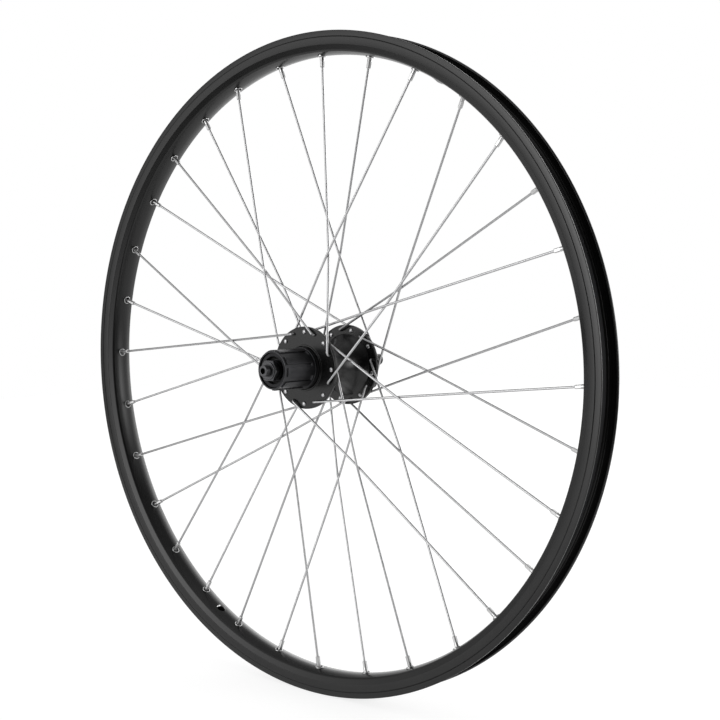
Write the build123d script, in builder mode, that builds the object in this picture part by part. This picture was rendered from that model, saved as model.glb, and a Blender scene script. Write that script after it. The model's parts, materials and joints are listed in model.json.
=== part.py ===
"""Rear mountain bicycle wheel: rim, laced spokes, disc-brake hub, freehub and hollow axle.

The axle lies along Y with the wheel's centre at the origin. The freehub (drive side) is at -Y and the
brake disc's seat at +Y. Angles are measured in the XZ plane from +X towards +Z. Millimetres.
"""

from build123d import *
from math import acos, cos, degrees, radians, sin, sqrt
import os

# Rim
bead_seat_diameter = 559.0
hook_height = 6.5
rim_width = 26.8
rim_depth = 19.1
bed_width = 13.8
taper_height = 7.1
side_wall = 1.8
bed_wall = 2.0
bridge_wall = 1.5
hook_thickness = 3.1
bead_shelf_width = 3.0
well_depth = 2.0
well_slope = 0.8
wear_groove_height = 5.2
wear_groove_width = 0.9
wear_groove_depth = 0.4
bed_corner_radius = 3.0
taper_corner_radius = 1.5
access_hole_radius = 4.3
valve_hole_radius = 4.25
valve_hole_place = 21.5
tape_thickness = 0.7
tape_edge_gap = 0.5

# Lacing
spoke_count = 32
crosses = 3
wheel_phase = -0.45
spoke_diameter = 2.0
spoke_head_radius = 2.0
spoke_head_height = 1.2
elbow_offset = 3.0
elbow_radius = 2.3
crossing_bend_radius = 60.0
crossing_gap = 0.2
rim_hole_stagger = 1.15

# Eyelets and nipples
eyelet_bore_radius = 2.75
eyelet_wall = 0.5
eyelet_collar_radius = 3.9
eyelet_collar_height = 0.9
eyelet_flange_radius = 3.8
eyelet_flange_thickness = 0.5
nipple_pivot_height = 0.8
nipple_radius = 1.9
nipple_flats = 3.3
nipple_length = 13.3
nipple_round_length = 7.6
nipple_head_height = 1.3
nipple_slot_width = 0.8
nipple_slot_depth = 0.7

# Hub shell
over_locknut_distance = 135.0
drive_flange_offset = 20.5
disc_flange_offset = 33.8
spoke_hole_pcd = 62.0
flange_lip = 4.5
flange_thickness = 3.2
flange_edge = 0.8
spoke_hole_radius = 1.3
barrel_radius = 17.0
barrel_wall = 5.0
drive_flare_radius = 12.0
disc_flare_radius = 29.0
flare_inset = 3.6
drive_boss_height = 1.5
drive_boss_wall = 1.2
drive_recess_depth = 2.2
disc_seat_inset = 15.3
disc_bolt_circle = 44.0
disc_bolt_count = 6
disc_bolt_phase = 12.0
disc_bolt_radius = 2.1
disc_bolt_depth = 9.0
disc_lobe_radius = 5.0
disc_lobe_length = 9.6
disc_neck_radius = 21.5
pilot_radius = 17.5
pilot_height = 1.8
core_socket_radius = 11.0
core_socket_depth = 7.0

# Bearings
ball_diameter = 6.35
ball_count = 9
ball_spacing = 0.08
small_ball_diameter = 3.175
small_ball_count = 25
small_ball_spacing = 0.085
race_gap = 0.05
press_gap = 0.02
cup_wall = 1.1
cup_floor = 2.2
cup_bore_radius = 7.5
disc_cup_mouth = 5.2
drive_cup_mouth = 6.5
cup_face_inset = 1.5
cup_lip_gap = 0.2
cup_lip_width = 3.125
drive_bearing_inset = 17.0
disc_bearing_depth = 5.7
cone_nose = 2.9
cone_shank_radius = 8.4
cone_land_radius = 9.6
cone_land_length = 1.5
cone_flats = 15.0
cone_flats_length = 3.0
drive_cone_length = 9.0
disc_cone_length = 11.5
cap_thickness = 1.0
cap_rim = 1.1
running_gap = 0.3
drive_seal_width = 1.6
disc_seal_width = 3.2
disc_seal_wall = 3.1

# Axle and its nuts
axle_thread_radius = 5.0
axle_end_radius = 4.7
axle_bore_radius = 2.55
axle_overhang = 5.5
axle_chamfer = 0.6
thread_gap = 0.03
locknut_width = 17.0
locknut_thickness = 5.0
locknut_collar_height = 1.0
locknut_collar_radius = 7.6
spacer_radius = 8.0

# Freehub
freehub_inset = 5.5
spline_radius = 17.25
spline_depth = 0.95
spline_count = 9
spline_phase = 14.0
groove_angle = 17.0
narrow_groove_angle = 10.0
spline_runout = 1.6
freehub_collar_height = 2.2
freehub_collar_chamfer = 0.6
freehub_shoulder_radius = 17.9
freehub_shoulder_width = 2.4
freehub_recess_gap = 0.8
freehub_bore_gap = 1.2
freehub_seal_width = 2.2
inner_row_offset = 6.5
outer_row_offset = 5.5
core_end_gap = 1.8
core_flange_lip = 0.6
ratchet_teeth = 24
ratchet_depth = 1.3
ratchet_gap = 0.4
pawl_count = 2
pawl_width = 6.5
pawl_inset = 1.0
pawl_pivot_radius = 11.2
pawl_heel_radius = 1.3
pawl_tip_radius = 12.6
pawl_tip_thickness = 1.6
pawl_reach = 36.0
pawl_lag = 0.8
pocket_end_gap = 2.5
pocket_side_gap = 0.1
spring_thickness = 0.3
spring_length = 4.2
spring_inset = 0.6
bolt_shank_radius = 8.0
bolt_thread_length = 12.0
bolt_head_radius = 9.4
bolt_head_length = 3.5
bolt_head_gap = 0.3
bolt_hex = 11.0
spigot_length = 2.5

# Worked-out radii and stations; stations on the drive side are distances towards -Y
half_root = sqrt(0.5)
rim_half = rim_width / 2
rim_outer_radius = bead_seat_diameter / 2 + hook_height
bead_seat_radius = bead_seat_diameter / 2
bed_radius = rim_outer_radius - rim_depth
well_radius = bead_seat_radius - well_depth
well_half = rim_half - side_wall - bead_shelf_width

hole_pitch = 360 / spoke_count
flange_pitch = 2 * hole_pitch
lacing_angle = crosses * flange_pitch
crossing_angle = (2 * crosses - 1) * flange_pitch / 2
hub_hole_radius = spoke_hole_pcd / 2
flange_radius = hub_hole_radius + flange_lip
spoke_radius = spoke_diameter / 2

eyelet_barrel_radius = eyelet_bore_radius + eyelet_wall
eyelet_seat_radius = bed_radius + bed_wall + race_gap + eyelet_flange_thickness
pivot_radius = eyelet_seat_radius + nipple_pivot_height
nipple_head_radius = sqrt(eyelet_bore_radius**2 + nipple_pivot_height**2) - race_gap
nipple_bore_radius = spoke_radius + race_gap

ball_radius = ball_diameter / 2
ball_pitch_radius = (ball_diameter + ball_spacing) / (2 * sin(radians(180 / ball_count)))
race_radius = ball_radius + race_gap
cup_radius = ball_pitch_radius + race_radius + cup_wall
small_ball_radius = small_ball_diameter / 2
small_pitch_radius = (small_ball_diameter + small_ball_spacing) / (2 * sin(radians(180 / small_ball_count)))
small_race_radius = small_ball_radius + race_gap
small_race_inner = small_pitch_radius - small_race_radius
small_race_outer = small_pitch_radius + small_race_radius

locknut_face = over_locknut_distance / 2
disc_seat = locknut_face - disc_seat_inset
disc_ball_station = disc_seat - disc_bearing_depth
drive_ball_station = locknut_face - drive_bearing_inset
nut_bore_radius = axle_thread_radius + thread_gap

drive_face = drive_flange_offset + flange_thickness / 2
boss_face = drive_face + drive_boss_height
recess_floor = boss_face - drive_recess_depth
recess_radius = freehub_shoulder_radius + freehub_recess_gap
socket_floor = recess_floor - core_socket_depth
thread_end = socket_floor - bolt_thread_length
inner_row = drive_flange_offset + inner_row_offset
outer_row = drive_ball_station - outer_row_offset
freehub_start = inner_row - freehub_shoulder_width
freehub_end = locknut_face - freehub_inset
freehub_bore_radius = cup_radius + freehub_bore_gap
spline_root_radius = spline_radius - spline_depth
ratchet_tip_radius = small_pitch_radius
core_radius = ratchet_tip_radius - ratchet_gap
core_end = outer_row - core_end_gap
pawl_start = inner_row + small_race_radius + pawl_inset
tooth_phase = pawl_reach - pawl_lag
pocket_reach = pawl_reach + pocket_end_gap
bolt_seat = core_end - spigot_length - bolt_head_gap - bolt_head_length


def polar(radius, angle, y):
    """Point at a radius and angle around the axle, at station y along it."""
    return Vector(radius * cos(radians(angle)), y, radius * sin(radians(angle)))


def flat_polar(radius, angle):
    """Point at a radius and angle in a sketch square to the axle."""
    return (radius * cos(radians(angle)), radius * sin(radians(angle)))


def across(y):
    """Plane square to the axle at station y, with sketch X along X, sketch Y along Z and normal -Y."""
    return Plane.XZ.offset(-y)


def turned(*points):
    """Closed half section, as (radius, y) corners, to be revolved around the axle."""
    with BuildSketch(Plane.XY) as section:
        with BuildLine():
            Polyline(*points, close=True)
        make_face()
    return section.sketch


def write(part, name):
    """Label a finished piece and write it to its own file."""
    part.label = name
    export_step(part, f"parts/{name}.step")


os.makedirs("parts", exist_ok=True)

# Rim: a hooked, double-walled hoop with a tapered lower half and a wear groove on each side
hole_angles = [wheel_phase + k * hole_pitch for k in range(spoke_count)]
hole_sides = [-1 if k % 2 == 0 else 1 for k in range(spoke_count)]
valve_angle = wheel_phase + valve_hole_place * hole_pitch


def radial_plane(angle, y, radius):
    """Plane on a rim hole's axis at a radius, with its normal pointing away from the hub."""
    return Plane(polar(radius, angle, y), x_dir=(0, 1, 0), z_dir=polar(1, angle, 0))


def hole_planes(radius):
    """One plane for each spoke hole of the rim, staggered to its own side."""
    return [radial_plane(a, s * rim_hole_stagger, radius) for a, s in zip(hole_angles, hole_sides)]


hook_centre = rim_outer_radius - hook_thickness / 2
hook_root = rim_outer_radius - hook_thickness
wall_inside = rim_half - side_wall
taper_top = bed_radius + taper_height
groove_middle = rim_outer_radius - wear_groove_height
groove_foot = groove_middle - wear_groove_width / 2
groove_top = groove_middle + wear_groove_width / 2

with BuildPart() as rim:
    with BuildSketch(Plane.XY):
        with BuildLine():
            FilletPolyline(
                (bed_radius, 0),
                (bed_radius, bed_width / 2),
                (taper_top, rim_half),
                (groove_foot, rim_half),
                radius=[bed_corner_radius, taper_corner_radius],
            )
            Polyline(
                (groove_foot, rim_half),
                (groove_middle, rim_half - wear_groove_depth),
                (groove_top, rim_half),
                (hook_centre, rim_half),
            )
            ThreePointArc(
                (hook_centre, rim_half),
                (rim_outer_radius, rim_half - hook_thickness / 2),
                (hook_centre, rim_half - hook_thickness),
            )
            Polyline(
                (hook_centre, rim_half - hook_thickness),
                (hook_root, wall_inside),
                (bead_seat_radius, wall_inside),
                (bead_seat_radius, well_half),
                (well_radius, well_half - well_slope),
                (well_radius, 0),
            )
            mirror(about=Plane.XZ)
        make_face()
        with BuildLine():
            Polyline(
                (bed_radius + bed_wall, 0),
                (bed_radius + bed_wall, bed_width / 2 - side_wall / 2),
                (taper_top, wall_inside),
                (bead_seat_radius - bridge_wall, wall_inside),
                (bead_seat_radius - bridge_wall, well_half),
                (well_radius - bridge_wall, well_half - well_slope),
                (well_radius - bridge_wall, 0),
            )
            mirror(about=Plane.XZ)
        make_face(mode=Mode.SUBTRACT)
    revolve(axis=Axis.Y)
    with Locations(*hole_planes(bed_radius)):
        Cylinder(eyelet_barrel_radius + press_gap, 4 * bed_wall, mode=Mode.SUBTRACT)
    with Locations(*hole_planes(well_radius)):
        Cylinder(access_hole_radius, 4 * bridge_wall, mode=Mode.SUBTRACT)
    with Locations(radial_plane(valve_angle, 0, rim_outer_radius)):
        Cylinder(valve_hole_radius, 3 * rim_depth, mode=Mode.SUBTRACT)
write(rim.part, "rim")

# Rim tape: a flat band in the well, over the nipples' access holes
tape_floor = well_radius + race_gap
tape_half = well_half - well_slope - tape_edge_gap
with BuildPart() as rim_tape:
    revolve(
        turned(
            (tape_floor, -tape_half),
            (tape_floor, tape_half),
            (tape_floor + tape_thickness, tape_half),
            (tape_floor + tape_thickness, -tape_half),
        ),
        axis=Axis.Y,
    )
    with Locations(radial_plane(valve_angle, 0, tape_floor)):
        Cylinder(valve_hole_radius, 3 * rim_depth, mode=Mode.SUBTRACT)
write(rim_tape.part, "rim_tape")

# Eyelets: a rounded collar under the bed, a barrel through it and a flange inside
with BuildPart() as eyelet:
    with BuildSketch(Plane.XZ):
        with BuildLine():
            ThreePointArc(
                (eyelet_collar_radius, -race_gap),
                ((eyelet_bore_radius + eyelet_collar_radius) / 2, -race_gap - eyelet_collar_height),
                (eyelet_bore_radius, -race_gap),
            )
            Polyline(
                (eyelet_bore_radius, -race_gap),
                (eyelet_bore_radius, eyelet_seat_radius - bed_radius),
                (eyelet_flange_radius, eyelet_seat_radius - bed_radius),
                (eyelet_flange_radius, bed_wall + race_gap),
                (eyelet_barrel_radius, bed_wall + race_gap),
                (eyelet_barrel_radius, -race_gap),
                (eyelet_collar_radius, -race_gap),
            )
        make_face()
    revolve(axis=Axis.Z)
with BuildPart() as eyelets:
    with Locations(*hole_planes(bed_radius)):
        add(eyelet.part)
write(eyelets.part, "eyelets")

# Lacing: where each spoke's head, elbow, crossing and nipple lie
flange_stations = {-1: -drive_flange_offset, 1: disc_flange_offset}
elbow_height = flange_thickness / 2 + elbow_offset
crossing_radius = sin(radians(lacing_angle)) / (
    sin(radians(lacing_angle - crossing_angle)) / hub_hole_radius
    + sin(radians(crossing_angle)) / pivot_radius
)


def flat_distance(radius_a, radius_b, angle):
    """Distance between two points at these radii, seen along the axle, with this angle between them."""
    return sqrt(radius_a**2 + radius_b**2 - 2 * radius_a * radius_b * cos(radians(angle)))


crossing_share = flat_distance(hub_hole_radius, crossing_radius, crossing_angle) / flat_distance(
    hub_hole_radius, pivot_radius, lacing_angle
)


def straight_station(side, facing):
    """Station along the axle where an unlaced spoke would pass the outermost crossing."""
    start = flange_stations[side] + side * facing * elbow_height
    return start + (side * rim_hole_stagger - start) * crossing_share


def spoke_points(k):
    """Head seat, elbow, crossing and nipple pivot of spoke k, and which way its elbow faces along Y.

    Spokes come in fours: elbows outside on the drive and disc flanges, then inside on each. The outside
    ones pass behind the inside ones at the outermost crossing.
    """
    side = hole_sides[k]
    facing = 1 if k % 4 < 2 else -1
    hub_angle = hole_angles[k] - facing * lacing_angle
    flange = flange_stations[side]
    outward = side * facing
    middle = (straight_station(side, 1) + straight_station(side, -1)) / 2
    return (
        polar(hub_hole_radius, hub_angle, flange - outward * (flange_thickness / 2 + press_gap)),
        polar(hub_hole_radius, hub_angle, flange + outward * elbow_height),
        polar(
            crossing_radius,
            hub_angle + facing * crossing_angle,
            middle - outward * (spoke_radius + crossing_gap / 2),
        ),
        polar(pivot_radius, hole_angles[k], side * rim_hole_stagger),
        outward,
    )


# Spokes: headed wires that turn at the flange and bend a little where they cross
for k in range(spoke_count):
    head_seat, elbow, crossing, pivot, outward = spoke_points(k)
    with BuildPart() as spoke:
        with BuildLine() as wire:
            FilletPolyline(head_seat, elbow, crossing, pivot, radius=[elbow_radius, crossing_bend_radius])
        with BuildSketch(Plane(head_seat, x_dir=(1, 0, 0), z_dir=(0, outward, 0))):
            Circle(spoke_radius)
        sweep(path=wire.line)
        with Locations(Plane(head_seat, x_dir=(1, 0, 0), z_dir=(0, -outward, 0))):
            Cone(
                spoke_head_radius,
                spoke_radius,
                spoke_head_height,
                align=(Align.CENTER, Align.CENTER, Align.MIN),
            )
    write(spoke.part, f"spoke_{k + 1:02d}")

# Nipples: ball-seated heads, round shanks and four wrench flats, in line with their spokes
with BuildPart() as nipple:
    Sphere(nipple_head_radius)
    with BuildSketch(Plane.XY.offset(-nipple_head_height)):
        Circle(2 * nipple_head_radius)
    extrude(amount=-2 * nipple_head_radius, mode=Mode.SUBTRACT)
    Cylinder(nipple_radius, nipple_round_length, align=(Align.CENTER, Align.CENTER, Align.MIN))
    with BuildSketch(Plane.XY.offset(nipple_round_length)):
        Circle(nipple_radius)
        Rectangle(nipple_flats, nipple_flats, mode=Mode.INTERSECT)
    extrude(amount=nipple_length - nipple_round_length)
    with Locations((0, 0, -nipple_head_height)):
        Box(4 * nipple_head_radius, nipple_slot_width, 2 * nipple_slot_depth, mode=Mode.SUBTRACT)
    Cylinder(nipple_bore_radius, 4 * nipple_length, mode=Mode.SUBTRACT)
nipple_planes = []
for k in range(spoke_count):
    crossing, pivot = spoke_points(k)[2:4]
    nipple_planes.append(Plane(pivot, x_dir=(0, 1, 0), z_dir=crossing - pivot))
with BuildPart() as nipples:
    with Locations(*nipple_planes):
        add(nipple.part)
write(nipples.part, "nipples")

# Hub shell: two drilled flanges on a flared barrel, the freehub's socket and the brake disc's seat
drive_inner = flange_thickness / 2 - drive_flange_offset
disc_inner = disc_flange_offset - flange_thickness / 2
disc_outer = disc_flange_offset + flange_thickness / 2
flare_top = hub_hole_radius - flare_inset
flare_rise = flare_top - barrel_radius
shell_bore = barrel_radius - barrel_wall
cup_shoulder = disc_ball_station - race_radius - cup_floor
cap_floor = disc_ball_station + disc_cup_mouth
cap_seat_radius = cup_radius + cap_rim
shell_end = disc_seat + pilot_height


def flare_turn(radius):
    """Degrees that a flare of this radius turns between the barrel and its flange."""
    return degrees(acos(1 - flare_rise / radius))


def flare_length(radius):
    """Length along the axle of a flare of this radius."""
    return radius * sin(radians(flare_turn(radius)))


barrel_start = drive_inner + flare_length(drive_flare_radius)
barrel_end = disc_inner - flare_length(disc_flare_radius)
with BuildPart() as hub_shell:
    with BuildSketch(Plane.XY):
        with BuildLine():
            Line((barrel_radius, barrel_start), (barrel_radius, barrel_end))
            JernArc(
                (barrel_radius, barrel_end), (0, 1), disc_flare_radius, -flare_turn(disc_flare_radius)
            )
            Polyline(
                (flare_top, disc_inner),
                (flange_radius - flange_edge, disc_inner),
                (flange_radius, disc_inner + flange_edge),
                (flange_radius, disc_outer - flange_edge),
                (flange_radius - flange_edge, disc_outer),
                (disc_neck_radius, disc_outer),
                (disc_neck_radius, disc_seat),
                (pilot_radius, disc_seat),
                (pilot_radius, shell_end),
                (cap_seat_radius, shell_end),
                (cap_seat_radius, cap_floor),
                (cup_radius + press_gap, cap_floor),
                (cup_radius + press_gap, cup_shoulder),
                (shell_bore, cup_shoulder),
                (shell_bore, -thread_end),
                (bolt_shank_radius, -thread_end),
                (bolt_shank_radius, -socket_floor),
                (core_socket_radius, -socket_floor),
                (core_socket_radius, -recess_floor),
                (recess_radius, -recess_floor),
                (recess_radius, -boss_face),
                (recess_radius + drive_boss_wall, -boss_face),
                (recess_radius + drive_boss_wall, -drive_face),
                (flange_radius - flange_edge, -drive_face),
                (flange_radius, flange_edge - drive_face),
                (flange_radius, drive_inner - flange_edge),
                (flange_radius - flange_edge, drive_inner),
                (flare_top, drive_inner),
            )
            JernArc(
                (barrel_radius, barrel_start), (0, -1), drive_flare_radius, flare_turn(drive_flare_radius)
            )
        make_face()
    revolve(axis=Axis.Y)
    with BuildSketch(across(disc_seat)):
        with PolarLocations(disc_bolt_circle / 2, disc_bolt_count, start_angle=disc_bolt_phase):
            Circle(disc_lobe_radius)
    extrude(amount=disc_lobe_length)
    with BuildSketch(across(disc_seat)):
        with PolarLocations(disc_bolt_circle / 2, disc_bolt_count, start_angle=disc_bolt_phase):
            Circle(disc_bolt_radius)
    extrude(amount=disc_bolt_depth, mode=Mode.SUBTRACT)
    with BuildSketch(across(drive_inner)):
        with PolarLocations(hub_hole_radius, spoke_count // 2, start_angle=wheel_phase):
            Circle(spoke_hole_radius)
    extrude(amount=flange_thickness, mode=Mode.SUBTRACT)
    with BuildSketch(across(disc_outer)):
        with PolarLocations(hub_hole_radius, spoke_count // 2, start_angle=wheel_phase + hole_pitch):
            Circle(spoke_hole_radius)
    extrude(amount=flange_thickness, mode=Mode.SUBTRACT)
write(hub_shell.part, "hub_shell")


# Hub bearings: a cone on the axle, a ring of balls and a cup at each end
def cone_section(station, outward, length):
    """Half section of a bearing cone whose balls run at this station; outward is +1 or -1 along Y."""

    def at(radius, out):
        return (radius, station + outward * out)

    inner = ball_pitch_radius - race_radius
    land_end = race_radius + cone_land_length
    with BuildSketch(Plane.XY) as section:
        with BuildLine():
            ThreePointArc(
                at(inner, 0),
                at(ball_pitch_radius - race_radius * half_root, race_radius * half_root),
                at(ball_pitch_radius, race_radius),
            )
            Polyline(
                at(ball_pitch_radius, race_radius),
                at(cone_land_radius, race_radius),
                at(cone_land_radius, land_end),
                at(cone_shank_radius, land_end),
                at(cone_shank_radius, length),
                at(nut_bore_radius, length),
                at(nut_bore_radius, -cone_nose),
                at(inner, -cone_nose),
                at(inner, 0),
            )
        make_face()
    return section.sketch


with BuildPart() as drive_cone:
    revolve(cone_section(-drive_ball_station, -1, drive_cone_length), axis=Axis.Y)
    with BuildSketch(across(-drive_ball_station - drive_cone_length)):
        Circle(2 * cone_shank_radius)
        Rectangle(cone_flats, 4 * cone_shank_radius, mode=Mode.SUBTRACT)
    extrude(amount=-cone_flats_length, mode=Mode.SUBTRACT)
write(drive_cone.part, "drive_cone")

with BuildPart() as disc_cone:
    revolve(cone_section(disc_ball_station, 1, disc_cone_length), axis=Axis.Y)
    with BuildSketch(across(disc_ball_station + disc_cone_length)):
        Circle(2 * cone_shank_radius)
        Rectangle(cone_flats, 4 * cone_shank_radius, mode=Mode.SUBTRACT)
    extrude(amount=cone_flats_length, mode=Mode.SUBTRACT)
write(disc_cone.part, "disc_cone")

with BuildPart() as drive_balls:
    with Locations(across(-drive_ball_station)):
        with PolarLocations(ball_pitch_radius, ball_count):
            Sphere(ball_radius)
write(drive_balls.part, "drive_balls")

with BuildPart() as disc_balls:
    with Locations(across(disc_ball_station)):
        with PolarLocations(ball_pitch_radius, ball_count):
            Sphere(ball_radius)
write(disc_balls.part, "disc_balls")

cup_mouth_radius = ball_pitch_radius + race_radius
with BuildPart() as disc_bearing_cup:
    with BuildSketch(Plane.XY):
        with BuildLine():
            ThreePointArc(
                (cup_mouth_radius, disc_ball_station),
                (ball_pitch_radius + race_radius * half_root, disc_ball_station - race_radius * half_root),
                (ball_pitch_radius, disc_ball_station - race_radius),
            )
            Polyline(
                (ball_pitch_radius, disc_ball_station - race_radius),
                (cup_bore_radius, disc_ball_station - race_radius),
                (cup_bore_radius, cup_shoulder + press_gap),
                (cup_radius, cup_shoulder + press_gap),
                (cup_radius, cap_floor),
                (cup_mouth_radius, cap_floor),
                (cup_mouth_radius, disc_ball_station),
            )
        make_face()
    revolve(axis=Axis.Y)
write(disc_bearing_cup.part, "disc_bearing_cup")

# The drive cup screws into the freehub's core and carries the outer row of small balls on its back. A lip
# at its mouth closes the freehub's end.
core_bore_radius = bolt_head_radius + 4 * race_gap
cup_mouth = drive_ball_station + drive_cup_mouth
cup_face = freehub_end - cup_face_inset
cup_lip_radius = freehub_bore_radius - cup_lip_gap
with BuildPart() as drive_bearing_cup:
    with BuildSketch(Plane.XY):
        with BuildLine():
            ThreePointArc(
                (cup_mouth_radius, -drive_ball_station),
                (ball_pitch_radius + race_radius * half_root, race_radius * half_root - drive_ball_station),
                (ball_pitch_radius, race_radius - drive_ball_station),
            )
            Polyline(
                (ball_pitch_radius, race_radius - drive_ball_station),
                (cup_bore_radius, race_radius - drive_ball_station),
                (cup_bore_radius, spigot_length - core_end),
                (core_bore_radius - press_gap, spigot_length - core_end),
                (core_bore_radius - press_gap, -core_end - press_gap),
                (small_race_inner, -core_end - press_gap),
                (small_race_inner, -outer_row),
            )
            ThreePointArc(
                (small_race_inner, -outer_row),
                (
                    small_pitch_radius - small_race_radius * half_root,
                    -outer_row - small_race_radius * half_root,
                ),
                (small_pitch_radius, -outer_row - small_race_radius),
            )
            Polyline(
                (small_pitch_radius, -outer_row - small_race_radius),
                (cup_radius, -outer_row - small_race_radius),
                (cup_radius, -cup_mouth),
                (cup_lip_radius, -cup_mouth),
                (cup_lip_radius, -cup_face),
                (cup_lip_radius - cup_lip_width, -cup_face),
                (cup_lip_radius - cup_lip_width, -cup_mouth),
                (cup_mouth_radius, -cup_mouth),
                (cup_mouth_radius, -drive_ball_station),
            )
        make_face()
    revolve(axis=Axis.Y)
write(drive_bearing_cup.part, "drive_bearing_cup")

# Seals and the disc side's dust cap
seal_start = drive_ball_station + race_radius + running_gap
with BuildPart() as drive_seal:
    revolve(
        turned(
            (cone_land_radius + press_gap, -seal_start),
            (cup_mouth_radius - running_gap, -seal_start),
            (cup_mouth_radius - running_gap, -seal_start - drive_seal_width),
            (cone_land_radius + press_gap, -seal_start - drive_seal_width),
        ),
        axis=Axis.Y,
    )
write(drive_seal.part, "drive_seal")

cap_outer_radius = cap_seat_radius - press_gap
cap_hole_radius = cone_land_radius + running_gap
with BuildPart() as disc_dust_cap:
    revolve(
        turned(
            (cap_hole_radius, cap_floor + press_gap),
            (cap_outer_radius, cap_floor + press_gap),
            (cap_outer_radius, shell_end),
            (cap_outer_radius - cap_thickness, shell_end),
            (cap_outer_radius - cap_thickness, cap_floor + cap_thickness),
            (cap_hole_radius, cap_floor + cap_thickness),
        ),
        axis=Axis.Y,
    )
write(disc_dust_cap.part, "disc_dust_cap")

boot_start = cap_floor + cap_thickness + running_gap
boot_bore = cone_shank_radius + press_gap
with BuildPart() as disc_seal:
    revolve(
        turned(
            (boot_bore, boot_start),
            (boot_bore + disc_seal_wall, boot_start),
            (boot_bore + disc_seal_wall / 2, boot_start + disc_seal_width),
            (boot_bore, boot_start + disc_seal_width),
        ),
        axis=Axis.Y,
    )
write(disc_seal.part, "disc_seal")

# Hollow axle, threaded between turned-down ends, with a spacer and a locknut at each end
axle_end = locknut_face + axle_overhang
with BuildPart() as axle:
    revolve(
        turned(
            (axle_bore_radius, -axle_end),
            (axle_end_radius - axle_chamfer, -axle_end),
            (axle_end_radius, axle_chamfer - axle_end),
            (axle_end_radius, -locknut_face),
            (axle_thread_radius, -locknut_face),
            (axle_thread_radius, locknut_face),
            (axle_end_radius, locknut_face),
            (axle_end_radius, axle_end - axle_chamfer),
            (axle_end_radius - axle_chamfer, axle_end),
            (axle_bore_radius, axle_end),
        ),
        axis=Axis.Y,
    )
write(axle.part, "axle")

locknut_back = locknut_face - locknut_thickness
drive_spacer_start = drive_ball_station + drive_cone_length
disc_spacer_start = disc_ball_station + disc_cone_length
with BuildPart() as drive_spacer:
    with BuildSketch(across(-drive_spacer_start)):
        Circle(spacer_radius)
        Circle(nut_bore_radius, mode=Mode.SUBTRACT)
    extrude(amount=locknut_back - drive_spacer_start)
write(drive_spacer.part, "drive_spacer")

with BuildPart() as disc_spacer:
    with BuildSketch(across(locknut_back)):
        Circle(spacer_radius)
        Circle(nut_bore_radius, mode=Mode.SUBTRACT)
    extrude(amount=locknut_back - disc_spacer_start)
write(disc_spacer.part, "disc_spacer")

hex_height = locknut_thickness - locknut_collar_height
with BuildPart() as drive_locknut:
    with BuildSketch(across(-locknut_back)):
        RegularPolygon(locknut_width / 2, 6, major_radius=False)
    extrude(amount=hex_height)
    with BuildSketch(across(-locknut_back - hex_height)):
        Circle(locknut_collar_radius)
    extrude(amount=locknut_collar_height)
    with BuildSketch(across(-locknut_back)):
        Circle(nut_bore_radius)
    extrude(amount=locknut_thickness, mode=Mode.SUBTRACT)
write(drive_locknut.part, "drive_locknut")

with BuildPart() as disc_locknut:
    with BuildSketch(across(locknut_back)):
        RegularPolygon(locknut_width / 2, 6, major_radius=False)
    extrude(amount=-hex_height)
    with BuildSketch(across(locknut_back + hex_height)):
        Circle(locknut_collar_radius)
    extrude(amount=-locknut_collar_height)
    with BuildSketch(across(locknut_back)):
        Circle(nut_bore_radius)
    extrude(amount=-locknut_thickness, mode=Mode.SUBTRACT)
write(disc_locknut.part, "disc_locknut")

# Freehub body: a splined tube with ratchet teeth inside and a ball race near each end
collar_start = freehub_end - freehub_collar_height
bore_step = outer_row + small_ball_radius
with BuildPart() as freehub_body:
    with BuildSketch(Plane.XY):
        with BuildLine():
            Line(
                (small_pitch_radius, -inner_row - small_race_radius),
                (small_pitch_radius, small_race_radius - outer_row),
            )
            ThreePointArc(
                (small_pitch_radius, small_race_radius - outer_row),
                (
                    small_pitch_radius + small_race_radius * half_root,
                    small_race_radius * half_root - outer_row,
                ),
                (small_race_outer, -outer_row),
            )
            Polyline(
                (small_race_outer, -outer_row),
                (small_race_outer, -bore_step),
                (freehub_bore_radius, -bore_step),
                (freehub_bore_radius, -freehub_end),
                (spline_root_radius - freehub_collar_chamfer, -freehub_end),
                (spline_root_radius, freehub_collar_chamfer - freehub_end),
                (spline_root_radius, -collar_start),
                (spline_radius, -collar_start),
                (spline_radius, -inner_row),
                (freehub_shoulder_radius, -inner_row),
                (freehub_shoulder_radius, -freehub_start),
                (small_race_outer, -freehub_start),
                (small_race_outer, -inner_row),
            )
            ThreePointArc(
                (small_race_outer, -inner_row),
                (
                    small_pitch_radius + small_race_radius * half_root,
                    -inner_row - small_race_radius * half_root,
                ),
                (small_pitch_radius, -inner_row - small_race_radius),
            )
        make_face()
    revolve(axis=Axis.Y)
    with BuildSketch(across(-inner_row - spline_runout)):
        for i in range(spline_count):
            half_groove = (narrow_groove_angle if i == 0 else groove_angle) / 2
            groove_centre = spline_phase + i * 360 / spline_count
            with BuildLine():
                Polyline(
                    flat_polar(freehub_bore_radius, groove_centre - half_groove),
                    flat_polar(spline_radius + spline_depth, groove_centre - half_groove),
                    flat_polar(spline_radius + spline_depth, groove_centre + half_groove),
                    flat_polar(freehub_bore_radius, groove_centre + half_groove),
                    close=True,
                )
            make_face()
        Circle(spline_root_radius, mode=Mode.SUBTRACT)
    extrude(amount=freehub_end, mode=Mode.SUBTRACT)
    tooth_corners = []
    for i in range(ratchet_teeth):
        tooth_corners.append(flat_polar(ratchet_tip_radius, tooth_phase + i * 360 / ratchet_teeth))
        tooth_corners.append(
            flat_polar(ratchet_tip_radius + ratchet_depth, tooth_phase + (i + 1) * 360 / ratchet_teeth)
        )
    with BuildSketch(across(running_gap - pawl_start)):
        with BuildLine():
            Polyline(*tooth_corners, close=True)
        make_face()
    extrude(amount=pawl_width + 2 * running_gap, mode=Mode.SUBTRACT)
write(freehub_body.part, "freehub_body")

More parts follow.
